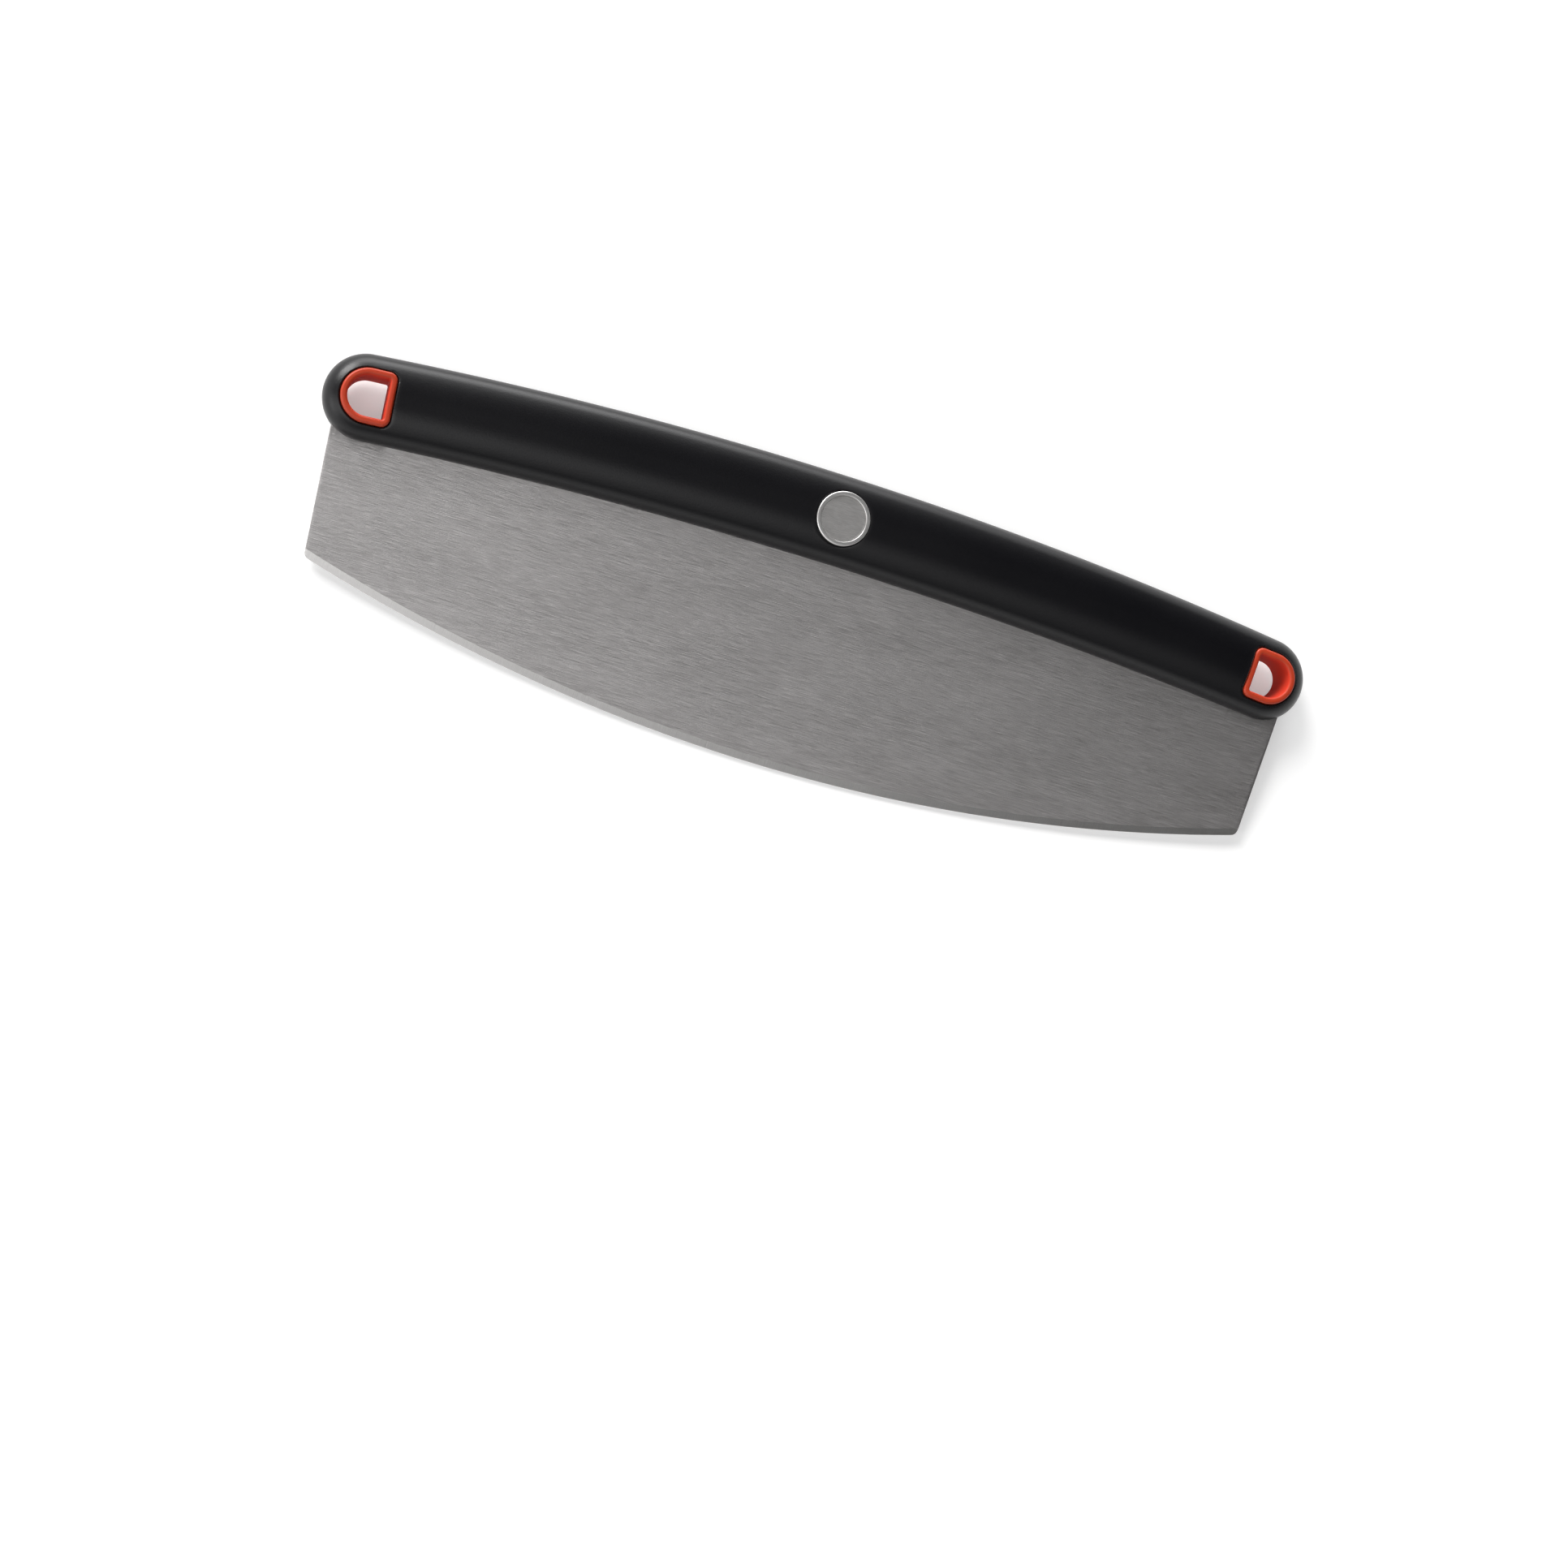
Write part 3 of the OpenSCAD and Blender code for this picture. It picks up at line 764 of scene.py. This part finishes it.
def endAt(y):
    return blade["length"] / 2 + (y - blade["leaves"]) * math.tan(math.radians(blade["lean"]))


def onEndLine(inset, depth):
    # the point of the leaning end, moved in by inset, that lies so deep inside the cutting edge
    lean, radius = math.radians(blade["lean"]), blade["edgeRadius"]
    slope, start = math.tan(lean), endAt(0) - inset / math.cos(lean)
    # a y^2 + b y + c = 0 where the line meets the circle of that depth
    a, b = slope ** 2 + 1, 2 * (start * slope - radius)
    c = start ** 2 + radius ** 2 - (radius - depth) ** 2
    y = (-b - math.sqrt(b * b - 4 * a * c)) / (2 * a)
    return start + slope * y, y


def bladeOutline(inset):
    # rows of arcs round the cutting edge's centre, each as wide as the rounded corner and the
    # leaning end allow, then rows that run up into the tang
    radius, corner, lean = blade["edgeRadius"], blade["corner"], math.radians(blade["lean"])
    centre = onEndLine(corner, corner)
    turn = np.linspace(math.atan2(centre[1] - radius, centre[0]), -lean, counts["corner"])
    rows = [onEndLine(inset, blade["bevel"] + step) for step in blade["rows"]]
    ends = np.vstack([circle(centre, corner - inset, turn)] + rows)
    sweep = np.arctan2(ends[:, 0], radius - ends[:, 1])
    reach = np.hypot(ends[:, 0], radius - ends[:, 1])
    across = np.linspace(-1, 1, counts["blade"])
    angle = sweep[:, None] * across
    arcs = np.dstack([reach[:, None] * np.sin(angle), radius - reach[:, None] * np.cos(angle)])
    high = blade["endTop"] - inset
    x = across * (endAt(high) - inset / math.cos(lean))
    tangTop = spineY + np.sqrt((spineR - blade["cover"] - inset) ** 2 - x ** 2)
    top = np.stack([x, np.where(np.abs(x) < blade["tangHalf"], tangTop, high)], axis=1)
    share = np.linspace(0, 1, counts["tang"])[1:, None, None]
    return np.vstack([arcs, arcs[-1] * (1 - share) + top * share])


def rimOf(grid):
    return np.concatenate([grid[0], grid[1:, -1], grid[-1, -2::-1], grid[-2:0:-1, 0]])


def makeBlade():
    # one side from the cutting edge up, the rounded rim all round it, and their mirror images
    half, radius, thin = blade["thickness"] / 2, blade["edgeRadius"], blade["edge"] / 2

    def faceHeight(xy):
        depth = radius - np.hypot(xy[..., 0], xy[..., 1] - radius)
        return np.minimum(half, thin + depth / blade["bevel"] * (half - thin))

    side, plate = Grids(), Grids()
    face = bladeOutline(blade["ease"])
    bevelRows = counts["corner"] + 2
    ground = (np.arange(len(face)) < bevelRows)[:, None] * 1.0
    side.put(np.dstack([face, faceHeight(face)]), mark=ground)
    walls, ease = [], blade["ease"]
    for angle in np.linspace(0, math.pi / 2, counts["ease"]):
        rim = rimOf(bladeOutline(ease * (1 - math.sin(angle))))
        walls.append(np.column_stack([rim, faceHeight(rim) - ease * (1 - math.cos(angle))]))
    walls.append(walls[-1] * (1, 1, 0))
    side.put(np.stack(walls), closed=True, mark=blade["easeMark"])
    plate.putMirrored(side, (1, 1, 1))
    plate.putMirrored(side, (1, 1, -1))
    body = plate.piece("blade_plate", "ground", crease=14)
    dress(body, "blade", bpy.data.materials["brushed_blade"])


def makeFloor():
    half = room["floorSize"] / 2
    mesh = bpy.data.meshes.new("floor")
    corners = [(-half, -half, 0), (half, -half, 0), (half, half, 0), (-half, half, 0)]
    mesh.from_pydata(corners, [], [(0, 1, 2, 3)])
    floor = bpy.data.objects.new("floor", mesh)
    bpy.context.scene.collection.objects.link(floor)
    mesh.materials.append(paleFloor())


def finishNode(node, look):
    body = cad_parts[node]
    body.data.materials.clear()
    body.data.materials.append(look)


satinBlack()
brushedBlade()
orangeLiner()
brushedMedallion()
print("finishes made")
for side in ("front", "back"):
    makeShell(side)
    makeMedallion(side)
makeLiner("right_liner", 1)
makeLiner("left_liner", -1)
makeBlade()
print("knife made")

pad = foamPad()
brass = turnedMetal("brass")
steel = turnedMetal("steel")
finishNode("front_pad", pad)
finishNode("back_pad", pad)
finishNode("sleeve_nut", brass)
finishNode("clamp_screw", steel)
for number in range(1, 5):
    finishNode("tang_pin_" + str(number), steel)

makeCamera()
makeLamp()
paintWorld()
makeFloor()
print("camera, lamp, world and floor made")
